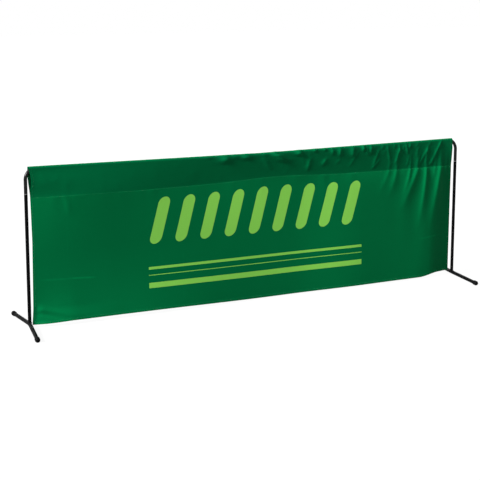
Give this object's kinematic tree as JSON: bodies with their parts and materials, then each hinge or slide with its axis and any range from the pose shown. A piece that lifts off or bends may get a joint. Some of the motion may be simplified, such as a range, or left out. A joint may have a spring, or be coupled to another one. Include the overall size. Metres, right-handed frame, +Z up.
{
  "type": "court surround barrier",
  "caption": "Free-standing cloth barrier: a take-down steel tube frame on V-bent feet that swivel, under a cloth cover slipped over its top rail.",
  "frame": {"origin": "on the floor, midway between the two posts, in the plane of the posts", "axes": "+X along the barrier to the right, seen from its face; +Y away from the face, to the back; +Z up"},
  "size_m": [2.4784, 0.5238, 0.73],
  "materials": {
    "painted_tube": "black gloss paint on steel tube",
    "black_plastic": "moulded, matt",
    "zinc_plated": "bright zinc plate",
    "green_cloth": "tightly woven coated polyester with a slight sheen"
  },
  "bodies": {
    "frame": {"rail_left": "painted_tube", "rail_right": "painted_tube", "rail_spigot": "zinc_plated", "rail_rivet": "zinc_plated", "cover": "green_cloth"},
    "leg_left": {"post_left": "painted_tube", "leg_spigot_left": "zinc_plated", "leg_rivet_left": "zinc_plated", "foot_left": "painted_tube", "weld_left": "painted_tube", "cap_left_back": "black_plastic", "cap_left_front": "black_plastic"},
    "leg_right": {"post_right": "painted_tube", "leg_spigot_right": "zinc_plated", "leg_rivet_right": "zinc_plated", "foot_right": "painted_tube", "weld_right": "painted_tube", "cap_right_back": "black_plastic", "cap_right_front": "black_plastic"}
  },
  "joints": [
    {"name": "leg_left_swivel", "type": "hinge", "parent": "frame", "child": "leg_left", "pos_m": [-1.165, 0, 0.607], "axis": [0, 0, 1], "range_deg": [-28, 42]},
    {"name": "leg_right_swivel", "type": "hinge", "parent": "frame", "child": "leg_right", "pos_m": [1.165, 0, 0.607], "axis": [0, 0, 1], "range_deg": [-23, 47]}
  ]
}
